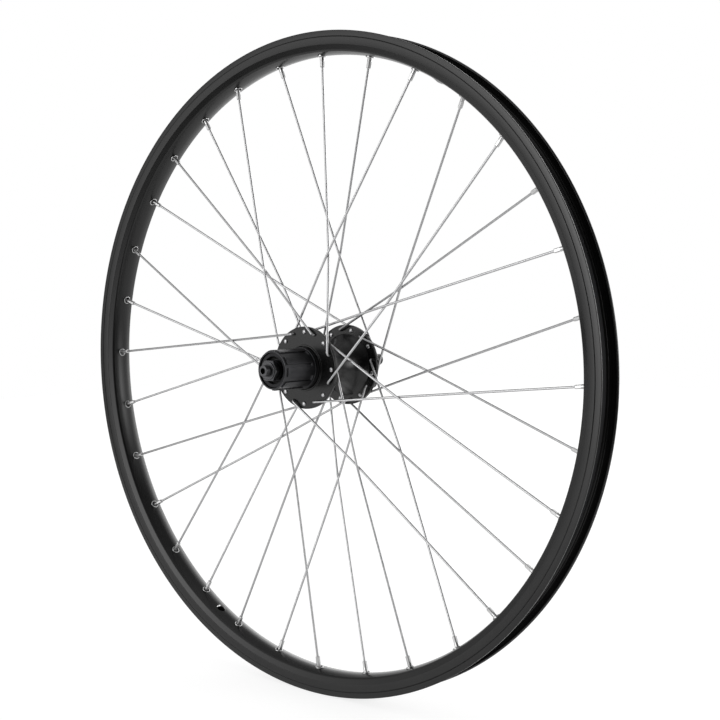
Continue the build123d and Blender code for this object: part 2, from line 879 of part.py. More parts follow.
with BuildPart() as freehub_seal:
    revolve(
        turned(
            (small_race_outer + core_flange_lip, press_gap - freehub_start),
            (freehub_shoulder_radius, press_gap - freehub_start),
            (freehub_shoulder_radius, freehub_seal_width - freehub_start),
            (small_race_outer + core_flange_lip, freehub_seal_width - freehub_start),
        ),
        axis=Axis.Y,
    )
write(freehub_seal.part, "freehub_seal")

with BuildPart() as freehub_inner_balls:
    with Locations(across(-inner_row)):
        with PolarLocations(small_pitch_radius, small_ball_count):
            Sphere(small_ball_radius)
write(freehub_inner_balls.part, "freehub_inner_balls")

with BuildPart() as freehub_outer_balls:
    with Locations(across(-outer_row)):
        with PolarLocations(small_pitch_radius, small_ball_count):
            Sphere(small_ball_radius)
write(freehub_outer_balls.part, "freehub_outer_balls")

# Pawls and their leaf springs, laid in pockets of the core
tip_inner_radius = pawl_tip_radius - pawl_tip_thickness
floor_radius = pawl_pivot_radius - pawl_heel_radius - spring_thickness - 2 * race_gap
floor_near = Vector(floor_radius, 0)
floor_far = Vector(*flat_polar(floor_radius, pocket_reach))
floor_along = (floor_far - floor_near).normalized()
floor_up = Vector(floor_along.Y, -floor_along.X)

with BuildSketch() as pawl_outline:
    with BuildLine():
        CenterArc((pawl_pivot_radius, 0), pawl_heel_radius, 0, 360)
        Line(flat_polar(pawl_tip_radius, pawl_reach), flat_polar(tip_inner_radius, pawl_reach))
    make_hull()

with BuildSketch() as pocket_outline:
    with BuildLine():
        Polyline(
            floor_near,
            floor_far,
            flat_polar(small_race_outer, pocket_reach),
            flat_polar(small_race_outer, pawl_reach / 2),
            flat_polar(small_race_outer, 0),
            close=True,
        )
    make_face()
    with Locations((pawl_pivot_radius, 0)):
        Circle(pawl_heel_radius + race_gap)

spring_near = floor_near + floor_along * spring_inset + floor_up * press_gap
spring_far = spring_near + floor_along * spring_length
with BuildSketch() as spring_outline:
    with BuildLine():
        Polyline(
            spring_near,
            spring_far,
            spring_far + floor_up * spring_thickness,
            spring_near + floor_up * spring_thickness,
            close=True,
        )
    make_face()

for k in range(pawl_count):
    with BuildPart() as pawl:
        with BuildSketch(across(-pawl_start)):
            with PolarLocations(0, 1, start_angle=k * 360 / pawl_count):
                add(pawl_outline.sketch)
        extrude(amount=pawl_width)
    write(pawl.part, f"pawl_{k + 1}")

with BuildPart() as pawl_springs:
    with BuildSketch(across(-pawl_start)):
        with PolarLocations(0, pawl_count):
            add(spring_outline.sketch)
    extrude(amount=pawl_width)
write(pawl_springs.part, "pawl_springs")

# Freehub core: the fixed inner part, held to the shell by a hollow bolt
core_step = pawl_start - pawl_inset / 2
with BuildPart() as freehub_core:
    with BuildSketch(Plane.XY):
        with BuildLine():
            ThreePointArc(
                (small_pitch_radius, small_race_radius - inner_row),
                (
                    small_pitch_radius - small_race_radius * half_root,
                    small_race_radius * half_root - inner_row,
                ),
                (small_race_inner, -inner_row),
            )
            Polyline(
                (small_race_inner, -inner_row),
                (small_race_inner, -core_step),
                (core_radius, -core_step),
                (core_radius, -core_end),
                (core_bore_radius, -core_end),
                (core_bore_radius, -bolt_seat),
                (bolt_shank_radius + race_gap, -bolt_seat),
                (bolt_shank_radius + race_gap, -socket_floor - press_gap),
                (core_socket_radius - press_gap, -socket_floor - press_gap),
                (core_socket_radius - press_gap, -recess_floor - press_gap),
                (small_pitch_radius + core_flange_lip, -recess_floor - press_gap),
                (small_pitch_radius + core_flange_lip, small_race_radius - inner_row),
                (small_pitch_radius, small_race_radius - inner_row),
            )
        make_face()
    revolve(axis=Axis.Y)
    with BuildSketch(across(pocket_side_gap - pawl_start)):
        with PolarLocations(0, pawl_count):
            add(pocket_outline.sketch)
    extrude(amount=pawl_width + 2 * pocket_side_gap, mode=Mode.SUBTRACT)
write(freehub_core.part, "freehub_core")

with BuildPart() as freehub_bolt:
    with BuildSketch(across(-thread_end)):
        Circle(bolt_shank_radius - press_gap)
    extrude(amount=bolt_seat - thread_end + bolt_head_length)
    with BuildSketch(across(-bolt_seat - press_gap)):
        Circle(bolt_head_radius)
    extrude(amount=bolt_head_length)
    with BuildSketch(across(-thread_end)):
        RegularPolygon(bolt_hex / 2, 6, major_radius=False)
    extrude(amount=core_end, mode=Mode.SUBTRACT)
write(freehub_bolt.part, "freehub_bolt")
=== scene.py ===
"""Dresses the rear bicycle wheel for its studio picture.

The axle lies along Y with the wheel's centre at the origin and the freehub at -Y. Shapes are worked out in
millimetres and become metres in their meshes. Angles run in the XZ plane from +X towards +Z, in degrees.
"""

import json
import math

import bmesh
import bpy
import numpy as np
from mathutils import Matrix, Vector


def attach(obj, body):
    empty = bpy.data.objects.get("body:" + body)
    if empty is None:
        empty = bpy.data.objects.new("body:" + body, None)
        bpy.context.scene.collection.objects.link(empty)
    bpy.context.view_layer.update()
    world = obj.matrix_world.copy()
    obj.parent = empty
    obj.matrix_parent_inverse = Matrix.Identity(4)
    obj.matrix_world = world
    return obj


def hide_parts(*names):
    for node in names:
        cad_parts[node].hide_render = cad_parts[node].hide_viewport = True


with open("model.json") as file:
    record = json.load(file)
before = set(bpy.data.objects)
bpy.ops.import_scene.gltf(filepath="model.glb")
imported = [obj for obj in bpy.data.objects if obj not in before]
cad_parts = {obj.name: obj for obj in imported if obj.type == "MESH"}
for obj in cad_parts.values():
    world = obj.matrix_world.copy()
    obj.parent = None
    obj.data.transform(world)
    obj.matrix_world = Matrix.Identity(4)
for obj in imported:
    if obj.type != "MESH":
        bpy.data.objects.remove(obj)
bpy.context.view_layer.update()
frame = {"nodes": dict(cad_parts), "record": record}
nodes = frame["nodes"]
slot_of = {part["node"]: part["material_slot"] for part in frame["record"]["subparts"]}

METRES = 0.001
turned_steps = 192

# Rim and tape
rim_outer_radius = 286.0
rim_half = 13.4
bead_seat_radius = 279.5
well_radius = 277.5
bed_radius = 266.9
bed_half = 3.75
bed_crown = 26.0
shoulder_half = 10.3
shoulder_height = 2.1
shoulder_round = 3.0
taper_top = 275.0
taper_round = 1.5
wall_bow = 0.3
swell_inset = wall_bow / 6
wall_swell = 277.0
wall_round = 50.0
lip_swell = 283.6
lip_round = 25.0
lip_edge = 0.4
wall_inside = 11.6
seat_round = 0.4
well_half = 8.6
well_slope = 0.8
well_edge = 0.3
hook_thickness = 3.1
hook_round = 1.2
hook_hollow = 0.5
groove_radius = 280.8
groove_half = 0.45
groove_depth = 0.5
groove_edge = 0.12
groove_round = 0.15
rim_middle = 276.0
rim_steps = 720
tape_floor = 277.55
tape_thickness = 0.7
tape_half = 7.3
tape_under_edge = 0.1
tape_edge = 0.3
tape_steps = 360
valve_angle = 241.425
valve_hole_radius = 3.75
valve_hole_depths = (-30.0, 10.0)
valve_chamfer_radii = (5.5, 3.5)
valve_chamfer_depths = (-20.0, -18.0)
valve_cavity_radius = 7.0
valve_cavity_depths = (-17.2, -10.5)
joint_angle = 61.425
seam_draw = 0.004
seam_width = 0.04
joint_swell = 1.1
joint_swell_lag = 0.5
joint_swell_width = 0.9
joint_swell_reach = 1.6
joint_swell_fade = 1.2

# Lacing
spoke_count = 32
hole_pitch = 360 / spoke_count
wheel_phase = -0.45
hole_stagger = 1.15
eyelet_hole_radius = 3.27
eyelet_bore_radius = 2.75
eyelet_collar_radius = 3.65
eyelet_collar_height = 0.9
eyelet_inner_round = 0.42
eyelet_outer_round = 0.55
eyelet_lift = 0.05
eyelet_fit = 0.02
eyelet_depth = 2.55
eyelet_hole_depths = (-3.0, 6.0)
eyelet_sides = 40
pivot_radius = 270.25
hub_hole_radius = 31.0
spoke_radius = 1.0
spoke_sides = 14
head_radius = 2.0
head_height = 1.2
elbow_height = 4.6
elbow_radius = 2.3
bend_radius = 60.0
crossing_gap = 0.2
lacing_angle = 67.5
crossing_angle = 56.25
nipple_ball = 2.814
nipple_shank = 1.9
nipple_flat = 1.65
nipple_sides = 48
flange_half = 1.6
drive_flange = -20.5
disc_flange = 33.8


def grid_faces(rows, columns, rows_close, columns_close):
    """Quads between neighbours of a grid of points numbered row by row; a side that closes wraps round."""
    i = np.arange(rows if rows_close else rows - 1)[:, None]
    j = np.arange(columns if columns_close else columns - 1)[None, :]
    below = (i + 1) % rows
    beside = (j + 1) % columns
    corners = [i * columns + j, below * columns + j, below * columns + beside, i * columns + beside]
    return np.stack(np.broadcast_arrays(*corners), -1).reshape(-1, 4)


def piece(name, points, rows_close, columns_close, finish, crease=30):
    """Object from one grid of points, or from a stack of copies of a grid, given in millimetres.

    Each copy's faces are the first copy's, numbered on by one copy's points. Poles are merged, faces are
    turned outwards, and edges that fold by more than the crease angle stay sharp.
    """
    grids = points.reshape(-1, *points.shape[-3:])
    copies, rows, columns = grids.shape[:3]
    one = grid_faces(rows, columns, rows_close, columns_close)
    faces = (np.arange(copies)[:, None, None] * rows * columns + one).reshape(-1, 4)
    mesh = bpy.data.meshes.new(name)
    mesh.from_pydata((grids.reshape(-1, 3) * METRES).tolist(), [], faces.tolist())
    made = bpy.data.objects.new(name, mesh)
    bpy.context.scene.collection.objects.link(made)
    mesh.materials.append(finish)
    shade(made, crease)
    return made


def shade(made, crease):
    """Merge poles, turn the faces outwards and keep the folds above the crease angle sharp."""
    work = bmesh.new()
    work.from_mesh(made.data)
    bmesh.ops.remove_doubles(work, verts=work.verts, dist=1e-7)
    bmesh.ops.recalc_face_normals(work, faces=work.faces)
    work.to_mesh(made.data)
    work.free()
    made.data.shade_smooth()
    made.data.set_sharp_from_angle(angle=math.radians(crease))


def cut(made, cutter, crease=30):
    """Take the cutter's space out of a piece; the new walls carry the cutter's own finish."""
    knife = made.modifiers.new("cut", "BOOLEAN")
    knife.operation = "DIFFERENCE"
    knife.solver = "MANIFOLD"
    knife.material_mode = "TRANSFER"
    knife.object = cutter
    graph = bpy.context.evaluated_depsgraph_get()
    mesh = bpy.data.meshes.new_from_object(made.evaluated_get(graph), depsgraph=graph)
    made.modifiers.clear()
    made.data = mesh
    bpy.data.objects.remove(cutter)
    mesh.shade_smooth()
    mesh.set_sharp_from_angle(angle=math.radians(crease))


def rounded(corners, steps=5, shoulder=0.25):
    """Closed section through corners given as (radius, station, rounding), as an array of points.

    A corner with a rounding becomes an arc that touches both its sides at rounding / tan(half the corner's
    angle) from the corner and turns evenly between them. Each side gets a point a shoulder's length from
    its ends, which keeps its shading flat.
    """
    corner = np.array([c[:2] for c in corners], float)
    before = np.roll(corner, 1, 0) - corner
    after = np.roll(corner, -1, 0) - corner
    before /= np.linalg.norm(before, axis=1)[:, None]
    after /= np.linalg.norm(after, axis=1)[:, None]
    half = np.arccos(np.clip((before * after).sum(1), -1, 1)) / 2
    radius = np.array([c[2] for c in corners], float)
    reach = radius / np.tan(half)
    starts = corner + before * reach[:, None]
    ends = corner + after * reach[:, None]
    inward = before + after
    inward /= np.maximum(np.linalg.norm(inward, axis=1), 1e-9)[:, None]
    centres = corner + inward * (radius / np.sin(half))[:, None]
    runs = []
    for k in range(len(corners)):
        if radius[k] > 0:
            first = np.arctan2(*(starts[k] - centres[k])[::-1])
            last = np.arctan2(*(ends[k] - centres[k])[::-1])
            swing = (last - first + math.pi) % (2 * math.pi) - math.pi
            turn = first + swing * np.linspace(0, 1, steps + 1)
            runs.append(centres[k] + radius[k] * np.stack([np.cos(turn), np.sin(turn)], -1))
        else:
            runs.append(corner[k : k + 1])
        side = starts[(k + 1) % len(corners)] - ends[k]
        length = np.linalg.norm(side)
        if length > 3 * shoulder:
            share = np.array([[shoulder / length], [1 - shoulder / length]])
            runs.append(ends[k] + share * side)
    return np.concatenate(runs)


def revolved(section, angles, shape=None):
    """A section turned around the axle: (r cos a, y, r sin a) for each angle a and section point (r, y).

    A shape gives the radius anew from the section's radius and station and the angle.
    """
    radius, station, angle = np.broadcast_arrays(*section.T, np.asarray(angles)[:, None])
    return polar(radius if shape is None else shape(radius, station, angle), angle, station)


def all_round(count):
    """Evenly spaced angles of a full turn."""
    return np.arange(count) * 360 / count


def polar(radius, angle, station):
    """Points at radii and angles around the axle, at stations along it, as rows of x, y, z."""
    turn = np.radians(angle)
    return np.stack(np.broadcast_arrays(radius * np.cos(turn), station, radius * np.sin(turn)), -1)


def arc(radius, station, size, first, last, steps):
    """Corners along an arc of a section, about a centre, between two angles from the radius's direction."""
    turn = np.radians(np.linspace(first, last, steps + 1))
    return [(radius + size * math.cos(t), station + size * math.sin(t), 0.0) for t in turn]


def unit(vectors):
    """Vectors scaled to length one along the last axis."""
    return vectors / np.linalg.norm(vectors, axis=-1, keepdims=True)


class Value:
    """A shader socket that takes part in Python sums: each operator adds one Math node."""

    def __init__(self, finish, socket):
        self.finish = finish
        self.socket = socket

    def sum_node(self, operation, first, second):
        """One Math node on two values, as a new value."""
        made = self.finish.node("ShaderNodeMath", {"operation": operation}, {0: first, 1: second})
        return Value(self.finish, made.outputs[0])

    def __add__(self, other):
        return self.sum_node("ADD", self, other)

    def __radd__(self, other):
        return self.sum_node("ADD", other, self)

    def __sub__(self, other):
        return self.sum_node("SUBTRACT", self, other)

    def __rsub__(self, other):
        return self.sum_node("SUBTRACT", other, self)

    def __mul__(self, other):
        return self.sum_node("MULTIPLY", self, other)

    def __rmul__(self, other):
        return self.sum_node("MULTIPLY", other, self)

    def __pow__(self, other):
        return self.sum_node("POWER", self, other)

    def __rpow__(self, other):
        return self.sum_node("POWER", other, self)


class Shading:
    """A node tree that is being built, for a material or for the room."""

    def __init__(self, tree):
        self.tree = tree

    def node(self, kind, settings, inputs):
        """Add a node of one kind, make its settings, then give its inputs their values or links."""
        made = self.tree.nodes.new(kind)
        for name, setting in settings.items():
            setattr(made, name, setting)
        for key, value in inputs.items():
            self.feed(made.inputs[key], value)
        return made

    def feed(self, socket, value):
        """Link a value to a socket, or set the socket to a plain number, vector or colour."""
        if isinstance(value, Value):
            self.tree.links.new(value.socket, socket)
        else:
            socket.default_value = value

    def out(self, made, key=0):
        """One output of a node as a value."""
        return Value(self, made.outputs[key])

    def colours(self, share, first, second):
        """Colour between two colours, by a share from 0 to 1."""
        made = self.node(
            "ShaderNodeMix", {"data_type": "RGBA"}, {0: share, 6: (*first, 1), 7: (*second, 1)}
        )
        return self.out(made, 2)


class Finish(Shading):
    """A material made of one surface shader; patterns lie in the piece's own coordinates, in metres."""

    def __init__(self, name, **constants):
        self.material = bpy.data.materials.new(name)
        self.material.use_nodes = True
        super().__init__(self.material.node_tree)
        self.shader = self.tree.nodes["Principled BSDF"]
        self.place = self.out(self.node("ShaderNodeTexCoord", {}, {}), "Object")
        for socket, value in constants.items():
            self.shader.inputs[socket.replace("_", " ")].default_value = value

    def surface(self, **links):
        """Feed the shader's sockets with what changes over the surface."""
        for socket, value in links.items():
            self.feed(self.shader.inputs[socket.replace("_", " ")], value)

    def cloud(self, scale, detail=2.0):
        """Soft noise from 0 to 1 with so many features to the metre."""
        made = self.node(
            "ShaderNodeTexNoise", {}, {"Vector": self.place, "Scale": scale, "Detail": detail}
        )
        return self.out(made, "Fac")

    def rings(self, pitch):
        """Fine tool marks: noise along the distance from the axle plus the station along it."""
        parts = self.node("ShaderNodeSeparateXYZ", {}, {0: self.place})
        x, y, z = (self.out(parts, k) for k in range(3))
        along = (x * x + z * z) ** 0.5 + y
        made = self.node(
            "ShaderNodeTexNoise",
            {"noise_dimensions": "1D"},
            {"W": along, "Scale": 1 / (pitch * METRES), "Detail": 1.0},
        )
        return self.out(made, "Fac")

    def bump(self, height, depth, strength):
        """Normal of a surface raised by a height from 0 to 1 times a depth in millimetres."""
        made = self.node(
            "ShaderNodeBump", {}, {"Strength": strength, "Distance": depth * METRES, "Height": height}
        )
        return self.out(made)


def rim_black():
    """Satin black anodising over a fine blasted grain, a little cloudy in depth and gloss."""
    finish = Finish("rim_black_anodised", IOR=1.38)
    grain = finish.cloud(scale=2600, detail=3.0)
    haze = finish.cloud(scale=35, detail=2.0)
    finish.surface(
        Base_Color=finish.colours(0.6 * haze + 0.4 * grain, (0.003, 0.003, 0.003), (0.009, 0.009, 0.009)),
        Roughness=0.17 + 0.08 * grain + 0.05 * haze,
        Normal=finish.bump(grain, depth=0.03, strength=0.15),
    )
    return finish.material


def hub_black():
    """Black anodising over turned aluminium: faint tool rings under a soft gloss."""
    finish = Finish("hub_black_anodised", IOR=1.45)
    rings = finish.rings(pitch=0.35)
    grain = finish.cloud(scale=2200, detail=2.0)
    haze = finish.cloud(scale=90, detail=2.0)
    finish.surface(
        Base_Color=finish.colours(0.5 * haze + 0.5 * grain, (0.001, 0.001, 0.001), (0.004, 0.004, 0.004)),
        Roughness=0.20 + 0.06 * rings + 0.05 * grain,
        Normal=finish.bump(0.7 * rings + 0.3 * grain, depth=0.012, strength=0.15),
    )
    return finish.material


def bright_metal(name, low, high, gloss):
    """Bare or plated metal: small shifts of tone, and a roughness that varies with handling and drawing."""
    finish = Finish(name, Metallic=1.0)
    haze = finish.cloud(scale=180, detail=3.0)
    grain = finish.cloud(scale=1500, detail=2.0)
    finish.surface(
        Base_Color=finish.colours(0.6 * haze + 0.4 * grain, low, high),
        Roughness=gloss + 0.10 * grain + 0.05 * haze,
        Normal=finish.bump(grain, depth=0.01, strength=0.2),
    )
    return finish.material


def dark_steel(name, low, high, gloss):
    """Blackened steel with turning marks and an oily unevenness; on the bearing parts its near-black tone is
    painted shade of the hub's deep recess.
    """
    finish = Finish(name, Metallic=0.85)
    rings = finish.rings(pitch=0.3)
    haze = finish.cloud(scale=140, detail=3.0)
    finish.surface(
        Base_Color=finish.colours(0.7 * haze + 0.3 * rings, low, high),
        Roughness=gloss + 0.10 * haze + 0.08 * rings,
        Normal=finish.bump(rings, depth=0.012, strength=0.25),
    )
    return finish.material


def soft_dark(name, low, high, rough):
    """Rubber or woven plastic: matt, with a fine pebbled grain."""
    finish = Finish(name, Specular_IOR_Level=0.2)
    pebbles = finish.cloud(scale=1800, detail=3.0)
    haze = finish.cloud(scale=60, detail=2.0)
    finish.surface(
        Base_Color=finish.colours(0.5 * haze + 0.5 * pebbles, low, high),
        Roughness=rough + 0.12 * pebbles,
        Normal=finish.bump(pebbles, depth=0.06, strength=0.4),
    )
    return finish.material


finishes = {
    "rim_anodised": rim_black(),
    "hub_anodised": hub_black(),
    "tape": soft_dark("tape_dark_cloth", (0.006, 0.006, 0.007), (0.016, 0.016, 0.017), 0.55),
    "plated_steel": bright_metal("eyelet_plating", (0.34, 0.34, 0.34), (0.52, 0.52, 0.52), 0.20),
    "plated_brass": bright_metal("nipple_plating", (0.36, 0.36, 0.36), (0.54, 0.54, 0.54), 0.26),
    "spoke_steel": bright_metal("spoke_stainless", (0.32, 0.32, 0.325), (0.48, 0.48, 0.485), 0.28),
    "axle_steel": bright_metal("axle_zinc_grey", (0.055, 0.055, 0.058), (0.10, 0.10, 0.105), 0.32),
    "freehub_steel": dark_steel("freehub_blackened", (0.025, 0.025, 0.027), (0.055, 0.055, 0.058), 0.28),
    # Painted shade: the bearing parts get a near-black steel that stands for the shade deep in the hub's
    # recesses.
    "bearing_steel": dark_steel("bearing_painted_recess_shade", (0.010, 0.010, 0.011), (0.026, 0.026, 0.028), 0.30),
    "ball_steel": bright_metal("ball_polished", (0.60, 0.60, 0.62), (0.72, 0.72, 0.74), 0.08),
    "seal_rubber": soft_dark("seal_black_rubber", (0.008, 0.008, 0.008), (0.020, 0.020, 0.020), 0.60),
}
bare_aluminium = bright_metal("valve_hole_bare", (0.34, 0.34, 0.34), (0.48, 0.48, 0.48), 0.25)


def dress(made, body, *replaced):
    """Put a piece on its nodes' body and hide the nodes of the frame that it stands for."""
    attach(made, body)
    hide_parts(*replaced)


# A direction that lies along no hole of the wheel
askew = (0.31, 0.77, 0.55)


def rods(centres, axes, radius, depths, count):
    """Round rods as a stack of grids: rings of a radius around each axis, between two depths along it.

    A pair of radii makes a cone.
    """
    near_radius, far_radius = np.broadcast_to(radius, 2)
    near, far = depths
    side = unit(np.cross(axes, askew))
    other = np.cross(axes, side)
    turn = np.radians(all_round(count))[:, None]
    circle = np.cos(turn) * side[:, None, :] + np.sin(turn) * other[:, None, :]
    reach = np.array([0, near_radius, far_radius, 0])[None, :, None, None]
    depth = np.array([near, near, far, far])[None, :, None, None]
    return centres[:, None, None, :] + reach * circle[:, None] + depth * axes[:, None, None, :]


def drill(made, name, centres, axes, radius, depths, count, finish):
    """Cut round holes along axes out of a piece, between two depths from their centres."""
    points = rods(centres, axes, radius, depths, count)
    cut(made, piece(name, points, rows_close=False, columns_close=True, finish=finish))


def rim_section():
    """Hooked, tapered section of the rim: one half's corners, then the same corners mirrored."""
    half = [
        (bed_radius, bed_half, bed_crown),
        (bed_radius + shoulder_height, shoulder_half, shoulder_round),
        (taper_top, rim_half - wall_bow, taper_round),
        (wall_swell, rim_half - swell_inset, wall_round),
        (groove_radius - groove_half, rim_half, groove_edge),
        (groove_radius, rim_half - groove_depth, groove_round),
        (groove_radius + groove_half, rim_half, groove_edge),
        (lip_swell, rim_half - swell_inset, lip_round),
        (rim_outer_radius, rim_half - wall_bow, lip_edge),
        (rim_outer_radius, rim_half - hook_thickness, hook_round),
        (rim_outer_radius - hook_thickness, wall_inside, hook_hollow),
        (bead_seat_radius, wall_inside, seat_round),
        (bead_seat_radius, well_half, well_edge),
        (well_radius, well_half - well_slope, seat_round),
    ]
    return rounded(half + [(r, -y, fillet) for r, y, fillet in half[::-1]], steps=6)


def rim_surface():
    """The rim's section turned around the axle, drawn in a little towards its middle along the rim's joint.

    The drawing-in falls off as a bell curve of the angle from the joint, and extra angles follow it there.
    Beside the joint the bed alone swells towards the axle by a wider bell curve.
    """
    beside_seam = np.array([-0.30, -0.12, -0.08, -0.05, -0.025, 0, 0.025, 0.05, 0.08, 0.12, 0.30])
    angles = np.unique(np.concatenate([all_round(rim_steps), joint_angle + beside_seam]))
    section = rim_section()
    points = revolved(section, angles)
    middle = polar(rim_middle, angles, 0.0)[:, None, :]
    bell = seam_draw * np.exp(-(((angles - joint_angle) / seam_width) ** 2))
    from_swell = angles - joint_angle + joint_swell_lag
    swell = joint_swell * np.exp(-((from_swell / joint_swell_width) ** 2))
    on_bed = np.clip((bed_radius + joint_swell_reach - section[:, 0]) / joint_swell_fade, 0, 1)
    outward = polar(swell, angles, 0.0)[:, None, :]
    return points + (middle - points) * bell[:, None, None] - on_bed[:, None] * outward


hole_angles = wheel_phase + hole_pitch * np.arange(spoke_count)
hole_sides = np.where(np.arange(spoke_count) % 2 == 0, -1.0, 1.0)
hole_axes = polar(1.0, hole_angles, 0.0)
hole_centres = polar(bed_radius, hole_angles, hole_sides * hole_stagger)
valve_axis = polar(1.0, np.array([valve_angle]), 0.0)


def drill_valve(made, name, radius, depths, finish):
    """Cut a round hole along the valve's axis, between two depths from the rim's edge."""
    edge = valve_axis * rim_outer_radius
    drill(made, name, edge, valve_axis, radius, depths, count=64, finish=finish)


rim = piece(
    "rim_hoop", rim_surface(), rows_close=True, columns_close=True, finish=finishes["rim_anodised"]
)
drill(
    rim,
    "hole_cutter",
    hole_centres,
    hole_axes,
    eyelet_hole_radius,
    eyelet_hole_depths,
    count=28,
    finish=finishes["rim_anodised"],
)
drill_valve(rim, "valve_cutter", valve_hole_radius, valve_hole_depths, finishes["rim_anodised"])
drill_valve(rim, "valve_chamfer_cutter", valve_chamfer_radii, valve_chamfer_depths, bare_aluminium)
drill_valve(rim, "valve_cavity_cutter", valve_cavity_radius, valve_cavity_depths, finishes["seal_rubber"])
dress(rim, "wheel", "rim")

tape_section = rounded(
    [
        (tape_floor, -tape_half, tape_under_edge),
        (tape_floor, tape_half, tape_under_edge),
        (tape_floor + tape_thickness, tape_half, tape_edge),
        (tape_floor + tape_thickness, -tape_half, tape_edge),
    ]
)
tape = piece(
    "rim_band",
    revolved(tape_section, all_round(tape_steps)),
    rows_close=True,
    columns_close=True,
    finish=finishes["tape"],
)
drill_valve(tape, "tape_cutter", valve_hole_radius, valve_hole_depths, finishes["tape"])
dress(tape, "wheel", "rim_tape")


def eyelet_surfaces():
    """Eyelets: a half-round collar, barrel and flange turned around each spoke hole's own axis."""
    collar_top = -eyelet_lift - eyelet_collar_height
    barrel = eyelet_hole_radius - eyelet_fit
    collar = [
        (eyelet_bore_radius, collar_top, eyelet_inner_round),
        (eyelet_collar_radius, collar_top, eyelet_outer_round),
        (eyelet_collar_radius, -eyelet_lift, 0.0),
        (barrel, -eyelet_lift, 0.0),
        (barrel, eyelet_depth, 0.0),
        (eyelet_bore_radius, eyelet_depth, 0.0),
    ]
    radius, depth = rounded(collar, steps=6, shoulder=0.2).T
    side = np.broadcast_to((0.0, 1.0, 0.0), hole_axes.shape)
    other = np.cross(hole_axes, side)
    turn = np.radians(all_round(eyelet_sides))
    circle = np.cos(turn)[:, None] * side[:, None] + np.sin(turn)[:, None] * other[:, None]
    return (
        hole_centres[:, None, None]
        + radius[:, None] * circle[:, :, None]
        + depth[:, None] * hole_axes[:, None, None]
    )


eyelets = piece(
    "spoke_eyelets",
    eyelet_surfaces(),
    rows_close=True,
    columns_close=True,
    finish=finishes["plated_steel"],
)
dress(eyelets, "wheel", "eyelets")


def lacing():
    """Head seat, elbow, crossing and nipple pivot of every spoke, and which way its elbow faces along Y.

    Spokes come in fours: elbows outside on the drive and disc flanges, then inside on each. A spoke's hub
    hole lies three crosses behind or ahead of its rim hole. At the outermost crossing the two spokes stand
    a wire's width apart about the mean of their straight lines.
    """
    k = np.arange(spoke_count)
    facing = np.where(k % 4 < 2, 1.0, -1.0)
    outward = hole_sides * facing
    flange = np.where(hole_sides < 0, drive_flange, disc_flange)
    hub_angle = hole_angles - facing * lacing_angle
    lean, part = np.radians([lacing_angle, crossing_angle])
    crossing_radius = math.sin(lean) / (
        math.sin(lean - part) / hub_hole_radius + math.sin(part) / pivot_radius
    )

    def span(first, second, angle):
        """Distance between two points at two radii, an angle apart."""
        return math.sqrt(first**2 + second**2 - 2 * first * second * math.cos(angle))

    share = span(hub_hole_radius, crossing_radius, part) / span(hub_hole_radius, pivot_radius, lean)
    middle = flange + (hole_sides * hole_stagger - flange) * share
    return (
        polar(hub_hole_radius, hub_angle, flange - outward * flange_half),
        polar(hub_hole_radius, hub_angle, flange + outward * elbow_height),
        polar(
            crossing_radius,
            hub_angle + facing * crossing_angle,
            middle - outward * (spoke_radius + crossing_gap / 2),
        ),
        polar(pivot_radius, hole_angles, hole_sides * hole_stagger),
        outward,
    )


head_seats, elbows, crossings, pivots, elbow_ways = lacing()


def bend(before, corner, after, radius, steps):
    """Arcs that round the corners of many paths at once, as rows of points along each path.

    Each arc starts radius / tan(half the corner's angle) before its corner and turns evenly to the same
    distance after it, about a centre on the corner's bisector.
    """
    back = unit(before - corner)
    ahead = unit(after - corner)
    half = np.arccos(np.clip((back * ahead).sum(-1), -1, 1)) / 2
    inward = unit(back + ahead)
    centre = corner + inward * (radius / np.sin(half))[:, None]
    start = unit(corner + back * (radius / np.tan(half))[:, None] - centre)
    turn = (math.pi - 2 * half)[:, None] * np.linspace(0, 1, steps + 1)
    return centre[:, None] + radius * (
        np.cos(turn)[..., None] * start[:, None] - np.sin(turn)[..., None] * back[:, None]
    )


def spoke_surfaces():
    """Spokes: a round section carried along each laced path, swelling to a domed head at its hub end.

    The path is the head, the elbow's arc, the shallow arc at the crossing and the end in the nipple. The
    section's sides stay square to the path and keep one direction across the elbow's plane.
    """
    away = -elbow_ways[:, None] * np.array([0.0, 1.0, 0.0])
    dome_height = np.array([1.0, 1.0, 0.95, 0.82, 0.62, 0.34, 0.08, 0.0, 0.0]) * head_height
    dome_radius = np.array([0.0, 0.30, 0.52, 0.74, 0.90, 1.0, 1.0, 0.96, 0.5]) * head_radius
    head = head_seats[:, None] + dome_height[:, None] * away[:, None]
    elbow = bend(head_seats, elbows, crossings, elbow_radius, steps=8)
    crossing = bend(elbows, crossings, pivots, bend_radius, steps=6)
    end = pivots[:, None]
    path = np.concatenate([head, elbow, crossing, end, end], 1)
    radius = np.concatenate([dome_radius, np.full(path.shape[1] - 1 - len(dome_radius), spoke_radius), [0]])
    step = path[:, 1:] - path[:, :-1]
    moved = np.linalg.norm(step, axis=-1, keepdims=True) > 1e-6
    first = np.broadcast_to(-away[:, None], step.shape)
    last = np.broadcast_to(unit(pivots - crossings)[:, None], step.shape)
    inside_head = (np.arange(step.shape[1]) < len(dome_radius))[:, None]
    along = np.where(moved, unit(np.where(moved, step, 1.0)), np.where(inside_head, first, last))
    along = np.concatenate([along[:, :1], along[:, :-1] + along[:, 1:], along[:, -1:]], 1)
    along = unit(along)
    across = unit(np.cross(away, crossings - elbows))[:, None]
    side = unit(across - (across * along).sum(-1, keepdims=True) * along)
    other = np.cross(along, side)
    turn = np.radians(all_round(spoke_sides))[:, None]
    circle = np.cos(turn) * side[:, :, None] + np.sin(turn) * other[:, :, None]
    return path[:, :, None] + radius[:, None, None] * circle


spokes = piece(
    "laced_spokes",
    spoke_surfaces(),
    rows_close=False,
    columns_close=True,
    finish=finishes["spoke_steel"],
    crease=40,
)
dress(spokes, "wheel", *[f"spoke_{k + 1:02d}" for k in range(spoke_count)])


